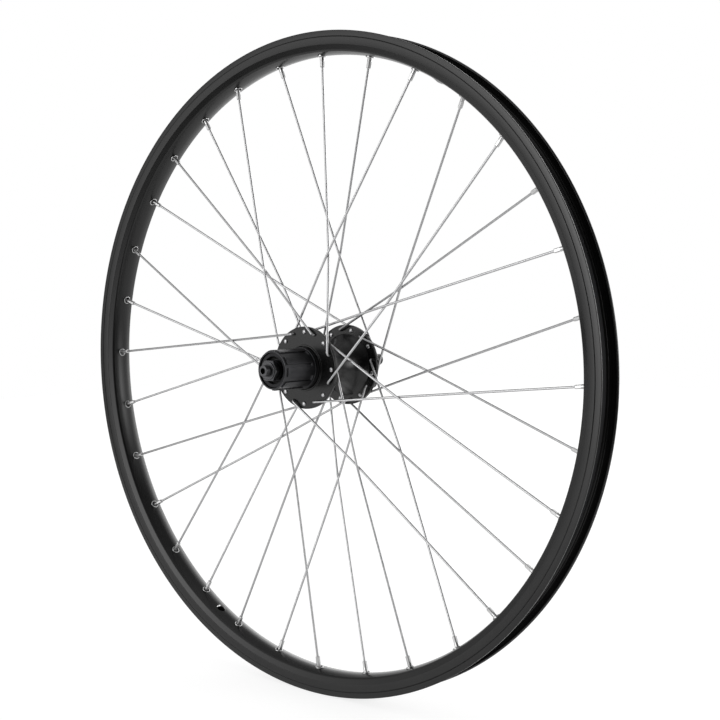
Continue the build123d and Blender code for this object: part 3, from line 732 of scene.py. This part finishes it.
def nipple_surfaces():
    """Nipples: a ball head and a round shank that turns into four flats, around each spoke's end.

    The radius at an angle is the shank's, or the distance to the nearest flat where that is less. A flat
    lies half its width from the axis over the cosine of the angle from its middle.
    """
    ball_at = np.array([-1.3, -0.9, -0.3, 0.4, 1.0, 1.5, 1.85])
    shank_at = np.array([2.08, 2.4, 7.1, 7.58])
    flats_at = np.array([7.62, 8.0, 12.5, 12.75, 13.1, 13.3, 13.3])
    flats_size = np.array([1.0, 1.0, 1.0, 1.0, 0.92, 0.80, 0.0])
    turn = all_round(nipple_sides)
    fold = np.abs((turn + 45) % 90 - 45)
    square = np.minimum(nipple_shank, nipple_flat / np.cos(np.radians(fold)))
    station = np.concatenate([ball_at[:1], ball_at, shank_at, flats_at])
    radius = np.concatenate(
        [
            np.zeros((1, nipple_sides)),
            np.repeat(np.sqrt(nipple_ball**2 - ball_at**2)[:, None], nipple_sides, 1),
            np.full((len(shank_at), nipple_sides), nipple_shank),
            flats_size[:, None] * square,
        ]
    )
    axis = unit(crossings - pivots)
    side = unit(np.array([0.0, 1.0, 0.0]) - axis[:, 1:2] * axis)
    other = np.cross(axis, side)
    angle = np.radians(turn)[:, None]
    circle = np.cos(angle) * side[:, None] + np.sin(angle) * other[:, None]
    return (
        pivots[:, None, None]
        + station[:, None, None] * axis[:, None, None]
        + radius[:, :, None] * circle[:, None]
    )


nipples = piece(
    "spoke_nipples",
    nipple_surfaces(),
    rows_close=False,
    columns_close=True,
    finish=finishes["plated_brass"],
    crease=20,
)
dress(nipples, "wheel", "nipples")


def turned(name, corners, body, node, shape=None, angles=None, crease=30):
    """Piece turned around the axle from a section's corners, standing for one node of the frame."""
    angles = all_round(turned_steps) if angles is None else angles
    points = revolved(rounded(corners), angles, shape)
    finish = finishes[slot_of[node]]
    made = piece(name, points, rows_close=True, columns_close=True, finish=finish, crease=crease)
    dress(made, body, node)
    return made


# Hub shell
hub_steps = 480
flange_radius = 35.5
flange_edge = 0.7
flare_top = 27.4
barrel_radius = 17.0
drive_flare = 12.0
disc_flare = 29.0
boss_radius = 19.9
boss_edge = 0.3
boss_foot = 0.4
recess_radius = 18.7
boss_face = -23.6
recess_floor = -21.4
disc_neck = 21.5
neck_foot = 0.8
neck_margin = 1.0
disc_seat = 52.2
seat_edge = 0.35
shell_end = 54.0
pilot_radius = 17.5
pilot_edge = 0.2
cap_seat_radius = 14.825
cap_floor = 51.7
cup_seat_radius = 13.745
cup_shoulder = 41.075
shell_bore = 12.0
web_radius = 8.0
web_inner = -2.4
web_outer = -14.4
socket_radius = 11.0
lobe_count = 6
lobe_pitch = 360 / lobe_count
lobe_circle = 22.0
lobe_radius = 5.0
lobe_phase = 12.0
lobe_start = 42.3
lobe_rise = 0.6
bolt_radius = 2.1
bolt_depths = (-9.0, 2.0)
spoke_hole_radius = 1.3
spoke_hole_depths = (-3.0, 3.0)
drive_face = drive_flange - flange_half
drive_inner = drive_flange + flange_half
disc_inner = disc_flange - flange_half
disc_face = disc_flange + flange_half


def lobed(radius, station, angle):
    """Neck of the brake disc's seat, swelling into six round lobes.

    Seen from the axle, a lobe's outer side lies at c cos a + sqrt(r^2 - (c sin a)^2), with a the angle from
    its middle, c its circle and r its own radius. The swell grows over a short run along the neck.
    """
    away = np.radians((angle - lobe_phase + lobe_pitch / 2) % lobe_pitch - lobe_pitch / 2)
    inside = np.maximum(lobe_radius**2 - (lobe_circle * np.sin(away)) ** 2, 0)
    reach = lobe_circle * np.cos(away) + np.sqrt(inside)
    rise = np.clip((station - lobe_start) / lobe_rise, 0, 1)
    on_neck = (radius > disc_neck - neck_margin) & (station > disc_face + neck_margin)
    return radius + np.where(on_neck, np.maximum(reach - disc_neck, 0) * rise, 0)


def hub_section():
    """Two flanges on a barrel with a tight flare on the drive side and a long one on the disc side."""
    flare_rise = flare_top - barrel_radius
    drive_turn = math.degrees(math.acos(1 - flare_rise / drive_flare))
    disc_turn = math.degrees(math.acos(1 - flare_rise / disc_flare))
    barrel_start = drive_inner + drive_flare * math.sin(math.radians(drive_turn))
    barrel_end = disc_inner - disc_flare * math.sin(math.radians(disc_turn))
    return [
        (boss_radius, boss_face, boss_edge),
        (boss_radius, drive_face, boss_foot),
        (flange_radius, drive_face, flange_edge),
        (flange_radius, drive_inner, flange_edge),
        *arc(barrel_radius + drive_flare, barrel_start, drive_flare, 180 + drive_turn, 180, steps=12),
        *arc(barrel_radius + disc_flare, barrel_end, disc_flare, 180, 180 - disc_turn, steps=12),
        (flange_radius, disc_inner, flange_edge),
        (flange_radius, disc_face, flange_edge),
        (disc_neck, disc_face, neck_foot),
        *[(disc_neck, lobe_start + lobe_rise * share, 0.0) for share in (-0.5, 0, 0.35, 0.7, 1, 1.5)],
        (disc_neck, disc_seat, seat_edge),
        (pilot_radius, disc_seat, pilot_edge),
        (pilot_radius, shell_end, seat_edge),
        (cap_seat_radius, shell_end, pilot_edge),
        (cap_seat_radius, cap_floor, 0.0),
        (cup_seat_radius, cap_floor, 0.0),
        (cup_seat_radius, cup_shoulder, 0.0),
        (shell_bore, cup_shoulder, 0.0),
        (shell_bore, web_inner, 0.0),
        (web_radius, web_inner, 0.0),
        (web_radius, web_outer, 0.0),
        (socket_radius, web_outer, 0.0),
        (socket_radius, recess_floor, 0.0),
        (recess_radius, recess_floor, boss_foot),
        (recess_radius, boss_face, boss_edge),
    ]


hub = turned("hub_body", hub_section(), "wheel", "hub_shell", lobed, all_round(hub_steps))
flange_angles = wheel_phase + 2 * hole_pitch * np.arange(spoke_count // 2)
flange_holes = np.concatenate(
    [
        polar(hub_hole_radius, flange_angles, drive_flange),
        polar(hub_hole_radius, flange_angles + hole_pitch, disc_flange),
    ]
)
along_axle = np.broadcast_to((0.0, 1.0, 0.0), flange_holes.shape)
drill(
    hub,
    "flange_cutter",
    flange_holes,
    along_axle,
    spoke_hole_radius,
    spoke_hole_depths,
    count=24,
    finish=finishes["hub_anodised"],
)
drill(
    hub,
    "bolt_cutter",
    polar(lobe_circle, lobe_phase + lobe_pitch * np.arange(lobe_count), disc_seat),
    along_axle[:lobe_count],
    bolt_radius,
    bolt_depths,
    count=32,
    finish=finishes["hub_anodised"],
)

# Freehub
freehub_steps = 240
freehub_start = -24.6
freehub_end = -62.0
freehub_edge = 0.3
shoulder_radius = 17.9
shoulder_end = -27.0
shoulder_foot = 0.2
spline_radius = 17.25
spline_depth = 0.95
spline_start = -28.6
spline_runout = 2.6
spline_count = 9
spline_phase = 14.0
groove_half_angle = 8.5
narrow_half_angle = 5.0
wall_angle = 0.08
collar_start = -59.8
collar_radius = 16.3
collar_foot = 0.15
collar_edge = 0.6
freehub_bore = 14.925
bore_wall = 0.2
bore_step = -46.6
row_radius = 1.6375
row_circle = 13.0
inner_row = -27.0
outer_row = -45.0
ratchet_start = -29.3375
ratchet_end = -36.4375
ratchet_depth = 1.3
ratchet_teeth = 24
ratchet_pitch = 360 / ratchet_teeth
ratchet_phase = 35.2
ratchet_step = 0.005
ratchet_reach = 0.1
hair = 0.01
lip_bore = 15.24
lip_back = -24.58
lip_front = -22.4
lip_back_edge = 0.2
lip_front_edge = 0.5
groove_middles = spline_phase + np.arange(spline_count) * 360 / spline_count
groove_halves = np.where(np.arange(spline_count) == 0, narrow_half_angle, groove_half_angle)


def freehub_angles():
    """Angles all round, with pairs close together at each groove's walls and each ratchet tooth's face."""
    sides = np.array([-wall_angle, wall_angle])
    walls = np.concatenate([groove_middles - groove_halves, groove_middles + groove_halves])
    teeth = ratchet_phase + ratchet_pitch * np.arange(ratchet_teeth)
    close = (np.concatenate([walls, teeth])[:, None] + sides).ravel() % 360
    return np.unique(np.round(np.concatenate([all_round(freehub_steps), close]), 4))


def splined(radius, station, angle):
    """Freehub's radius: grooves sunk along its outside and saw teeth cut around its inside.

    A groove's depth is full between its walls and grows from its start along the arc of a round cutter. A
    tooth deepens evenly over its pitch and then falls back at its face.
    """
    nearest = (angle[..., None] - groove_middles + 180) % 360 - 180
    in_groove = (np.abs(nearest) < groove_halves).any(-1)
    run = np.clip((spline_start - station) / spline_runout, 0, 1)
    cutter = (spline_runout**2 + spline_depth**2) / (2 * spline_depth)
    depth = spline_depth - cutter + np.sqrt(cutter**2 - (spline_runout * (1 - run)) ** 2)
    grooved = np.where(in_groove & (radius > collar_radius + hair), radius - depth, radius)
    outside = np.maximum(grooved, np.minimum(radius, collar_radius))
    share = (angle - ratchet_phase) % ratchet_pitch / ratchet_pitch
    in_band = (station < ratchet_start + hair) & (station > ratchet_end - hair)
    on_bore = (radius > row_circle - hair) & (radius < row_circle + ratchet_reach)
    tooth = np.where(in_band & on_bore, ratchet_depth * share, 0)
    return np.where(radius > freehub_bore + bore_wall, outside, radius + tooth)


def freehub_section():
    """Splined tube with a shoulder, a plain collar at its end, a stepped bore and two ball races."""
    return [
        (shoulder_radius, freehub_start, freehub_edge),
        (shoulder_radius, shoulder_end, freehub_edge),
        (spline_radius, shoulder_end, shoulder_foot),
        *[(spline_radius, spline_start - spline_runout * share, 0.0) for share in (0, 0.2, 0.4, 0.6, 0.8, 1)],
        (spline_radius, collar_start, collar_foot),
        (collar_radius, collar_start, 0.0),
        (collar_radius, freehub_end, collar_edge),
        (freehub_bore, freehub_end, freehub_edge),
        (freehub_bore, bore_step, 0.0),
        (row_circle + row_radius, bore_step, 0.0),
        *arc(row_circle, outer_row, row_radius, 0, 90, steps=5),
        (row_circle, ratchet_end - ratchet_step, 0.0),
        (row_circle, ratchet_end, 0.0),
        (row_circle, ratchet_start, 0.0),
        (row_circle, ratchet_start + ratchet_step, 0.0),
        *arc(row_circle, inner_row, row_radius, -90, 0, steps=5),
        (row_circle + row_radius, freehub_start, 0.0),
    ]


turned(
    "splined_freehub",
    freehub_section(),
    "freehub",
    "freehub_body",
    splined,
    freehub_angles(),
    crease=25,
)
turned(
    "freehub_lip",
    [
        (lip_bore, lip_back, lip_back_edge),
        (shoulder_radius, lip_back, lip_back_edge),
        (shoulder_radius, lip_front, lip_front_edge),
        (lip_bore, lip_front, lip_back_edge),
    ],
    "freehub",
    "freehub_seal",
)

# Axle, nuts and bearings
axle_bore = 2.55
axle_end_radius = 4.7
axle_thread = 5.0
axle_end = 73.0
axle_edge = 0.25
axle_chamfer = 0.6
nut_bore = 5.03
nut_face = 67.5
nut_back = 62.5
nut_edge = 0.3
hex_front = 66.5
hex_width = 17.0
hex_chamfer = 0.75
nut_collar = 7.6
cone_shank = 8.4
cone_land = 9.6
cone_land_length = 1.5
cone_land_edges = (0.1, 0.2)
cone_nose = 2.9
cone_edge = 0.3
cone_flat_half = 7.5
cone_flat_start = 55.0
cone_flat_step = 0.1
cone_flat_margin = 0.05
least_cosine = 0.1
spacer_radius = 8.0
spacer_edge = 0.25
ball_circle = 9.4
race_radius = 3.225
cup_radius = 13.725
cup_mouth = -57.0
cup_face = -60.5
cup_lip_outer = 14.725
cup_lip_bore = 11.6
cup_lip_edge = 0.3
cup_bore = 7.5
cup_back = -40.7
cup_step_radius = 9.58
cup_step = -43.22
cup_race_edge = 11.36
seal_bore = 9.62
seal_radius = 12.325
seal_inner = -54.025
seal_outer = -55.625
seal_edge = 0.3
cover_bore = 9.9
cover_radius = 14.805
cover_inside = 13.805
cover_back = 51.72
cover_web = 52.7
cover_edge = 0.3
cover_foot = 0.5
boot_bore = 8.42
boot_flare = 11.52
boot_tip = 9.97
boot_back = 53.0
boot_front = 56.2
boot_inner_edge = 0.2
boot_flare_edge = 0.3
boot_tip_edge = 0.4
drive_ball_row = -50.5
disc_ball_row = 46.5
drive_cone_end = -59.5
disc_cone_end = 58.0

turned(
    "hollow_axle",
    [
        (axle_bore, -axle_end, axle_edge),
        (axle_end_radius, -axle_end, axle_chamfer),
        (axle_end_radius, -nut_face, 0.0),
        (axle_thread, -nut_face, 0.0),
        (axle_thread, nut_face, 0.0),
        (axle_end_radius, nut_face, 0.0),
        (axle_end_radius, axle_end, axle_chamfer),
        (axle_bore, axle_end, axle_edge),
    ],
    "axle_set",
    "axle",
)


def six_sided(radius, station, angle):
    """Nut's radius: the lesser of the section's and a hexagon's, half its width over the cosine."""
    away = np.radians(angle % 60 - 30)
    return np.minimum(radius, hex_width / 2 / np.cos(away))


def flatted(radius, station, angle):
    """Cone's radius: two flats for a thin spanner near its outer end."""
    flat = cone_flat_half / np.maximum(np.abs(np.cos(np.radians(angle))), least_cosine)
    on_shank = np.abs(radius - cone_shank) < cone_flat_margin
    on_flats = (np.abs(station) > cone_flat_start) & on_shank
    return np.where(on_flats, np.minimum(radius, flat), radius)


def locknut(name, side, node):
    """Hex locknut with chamfered corners and a round collar towards the frame."""
    corner = hex_width / math.sqrt(3)
    turned(
        name,
        [
            (nut_bore, side * nut_back, nut_edge),
            (hex_width / 2, side * nut_back, 0.0),
            (corner, side * (nut_back + hex_chamfer), 0.0),
            (corner, side * (hex_front - hex_chamfer), 0.0),
            (hex_width / 2, side * hex_front, 0.0),
            (nut_collar, side * hex_front, 0.0),
            (nut_collar, side * nut_face, nut_edge),
            (nut_bore, side * nut_face, nut_edge),
        ],
        "axle_set",
        node,
        six_sided,
        crease=20,
    )


def bearing_cone(name, row, end, node):
    """Bearing cone: a ball race, a round land, and a shank with two spanner flats."""
    side = math.copysign(1, row)
    race_arc = arc(ball_circle, row, race_radius, 180, 90, steps=6)
    race = [(r, row + side * (y - row), 0.0) for r, y, _ in race_arc]
    land_start = row + side * race_radius
    land_end = row + side * (race_radius + cone_land_length)
    nose = row - side * cone_nose
    turned(
        name,
        [
            *race,
            (cone_land, land_start, cone_land_edges[0]),
            (cone_land, land_end, cone_land_edges[1]),
            (cone_shank, land_end, 0.0),
            (cone_shank, side * (cone_flat_start - cone_flat_step), 0.0),
            (cone_shank, side * (cone_flat_start + cone_flat_step), 0.0),
            (cone_shank, end, cone_edge),
            (nut_bore, end, 0.0),
            (nut_bore, nose, 0.0),
            (ball_circle - race_radius, nose, cone_land_edges[1]),
        ],
        "axle_set",
        node,
        flatted,
    )


def ring(name, inner, outer, start, end, edge, node):
    """Plain turned ring on the axle, between two radii and two stations, with rounded edges."""
    turned(
        name,
        [(inner, start, edge), (outer, start, edge), (outer, end, edge), (inner, end, edge)],
        "axle_set",
        node,
    )


locknut("drive_side_nut", -1, "drive_locknut")
locknut("disc_side_nut", 1, "disc_locknut")
bearing_cone("drive_side_cone", drive_ball_row, drive_cone_end, "drive_cone")
bearing_cone("disc_side_cone", disc_ball_row, disc_cone_end, "disc_cone")
ring("drive_side_spacer", nut_bore, spacer_radius, drive_cone_end, -nut_back, spacer_edge, "drive_spacer")
ring("disc_side_spacer", nut_bore, spacer_radius, disc_cone_end, nut_back, spacer_edge, "disc_spacer")
ring("drive_dust_seal", seal_bore, seal_radius, seal_inner, seal_outer, seal_edge, "drive_seal")
turned(
    "drive_race_cup",
    [
        *arc(ball_circle, drive_ball_row, race_radius, 0, 90, steps=6),
        (cup_bore, drive_ball_row + race_radius, 0.0),
        (cup_bore, cup_back, 0.0),
        (cup_step_radius, cup_back, 0.0),
        (cup_step_radius, cup_step, 0.0),
        (cup_race_edge, cup_step, 0.0),
        *arc(row_circle, outer_row, row_radius, 180, 270, steps=5),
        (cup_radius, outer_row - row_radius, 0.0),
        (cup_radius, cup_mouth, 0.0),
        (cup_lip_outer, cup_mouth, 0.0),
        (cup_lip_outer, cup_face, cup_lip_edge),
        (cup_lip_bore, cup_face, cup_lip_edge),
        (cup_lip_bore, cup_mouth, 0.0),
        (ball_circle + race_radius, cup_mouth, 0.0),
    ],
    "wheel",
    "drive_bearing_cup",
)
turned(
    "disc_dust_cover",
    [
        (cover_bore, cover_back, 0.0),
        (cover_radius, cover_back, 0.0),
        (cover_radius, shell_end, cover_edge),
        (cover_inside, shell_end, cover_edge),
        (cover_inside, cover_web, cover_foot),
        (cover_bore, cover_web, cover_edge),
    ],
    "wheel",
    "disc_dust_cap",
)
turned(
    "disc_rubber_boot",
    [
        (boot_bore, boot_back, boot_inner_edge),
        (boot_flare, boot_back, boot_flare_edge),
        (boot_tip, boot_front, boot_tip_edge),
        (boot_bore, boot_front, boot_inner_edge),
    ],
    "axle_set",
    "disc_seal",
)

for name, node in nodes.items():
    node.data.materials.clear()
    node.data.materials.append(finishes[slot_of[name]])

# Floor, room and camera, in metres
floor_left = -2.5
floor_right = 0.8
floor_front = -0.7
floor_back = 3.0
floor_height = -rim_outer_radius * METRES
floor_glow = 0.8
camera_azimuth = 40.4097
camera_elevation = 3.7832
camera_distance = 1.18
camera_shift_right = 0.0335
camera_shift_up = 0.0056
sensor_width = 36.0
focal_length_pixels = 1353.86
picture_width_pixels = 720

floor_mesh = bpy.data.meshes.new("studio_floor")
floor_corners = [
    (floor_left, floor_front, floor_height),
    (floor_right, floor_front, floor_height),
    (floor_right, floor_back, floor_height),
    (floor_left, floor_back, floor_height),
]
floor_mesh.from_pydata(floor_corners, [], [[0, 1, 2, 3]])
floor = bpy.data.objects.new("studio_floor", floor_mesh)
bpy.context.scene.collection.objects.link(floor)
floor_finish = Finish(
    "studio_paper", Roughness=0.9, Emission_Color=(1, 1, 1, 1), Emission_Strength=floor_glow
)
paper = floor_finish.cloud(scale=3.0)
floor_finish.surface(Base_Color=floor_finish.colours(paper, (0.26, 0.26, 0.26), (0.30, 0.30, 0.30)))
floor_mesh.materials.append(floor_finish.material)

azimuth, elevation = np.radians([camera_azimuth, camera_elevation])
back = Vector(
    (
        math.sin(azimuth) * math.cos(elevation),
        -math.cos(azimuth) * math.cos(elevation),
        math.sin(elevation),
    )
)
right = Vector((math.cos(azimuth), math.sin(azimuth), 0))
up = back.cross(right)

world = bpy.data.worlds.new("studio_room")
bpy.context.scene.world = world
world.use_nodes = True
room = Shading(world.node_tree)
seen = room.out(room.node("ShaderNodeLightPath", {}, {}), "Is Camera Ray")
towards = room.out(room.node("ShaderNodeTexCoord", {}, {}), "Generated")


def softbox(bearing, height, narrowness, brightness):
    """Soft patch of light far away: its brightness falls as exp(narrowness (cos a - 1)), a from its middle.

    Its bearing is counted from +X towards +Y and its height from the floor, in degrees.
    """
    turn, tilt = np.radians([bearing, height])
    middle = (math.cos(turn) * math.cos(tilt), math.sin(turn) * math.cos(tilt), math.sin(tilt))
    cosine = room.out(
        room.node("ShaderNodeVectorMath", {"operation": "DOT_PRODUCT"}, {0: towards, 1: middle}), "Value"
    )
    return brightness * math.e ** (narrowness * (cosine - 1.0))


front = softbox(bearing=-106, height=8, narrowness=20, brightness=5.6)
front_left = softbox(bearing=-134, height=8, narrowness=16, brightness=0.85)
right_edge = softbox(bearing=14, height=8, narrowness=36, brightness=4.6)
right_wide = softbox(bearing=32, height=8, narrowness=16, brightness=1.7)
left_side = softbox(bearing=180, height=12, narrowness=12, brightness=0.7)
backdrop = softbox(bearing=90, height=8, narrowness=12, brightness=4.6)
backdrop_left = softbox(bearing=120, height=8, narrowness=12, brightness=1.6)
ceiling = softbox(bearing=0, height=90, narrowness=6, brightness=0.8)
front_high = softbox(bearing=-120, height=45, narrowness=6, brightness=0.6)
lights = front + front_left + right_edge + right_wide + left_side
lights = lights + backdrop + backdrop_left + ceiling + front_high
background = world.node_tree.nodes["Background"]
background.inputs["Color"].default_value = (1, 1, 1, 1)
room.feed(background.inputs["Strength"], seen + (1.0 - seen) * lights)

lens = bpy.data.cameras.new("studio_camera")
lens.sensor_width = sensor_width
lens.lens = sensor_width * focal_length_pixels / picture_width_pixels
lens.clip_start = 0.05
camera = bpy.data.objects.new("studio_camera", lens)
bpy.context.scene.collection.objects.link(camera)
camera_place = back * camera_distance + right * camera_shift_right + up * camera_shift_up
camera_turn = Matrix((right, up, back)).transposed().to_4x4()
camera.matrix_world = Matrix.Translation(camera_place) @ camera_turn
bpy.context.scene.camera = camera
bpy.context.scene.view_settings.view_transform = "Standard"
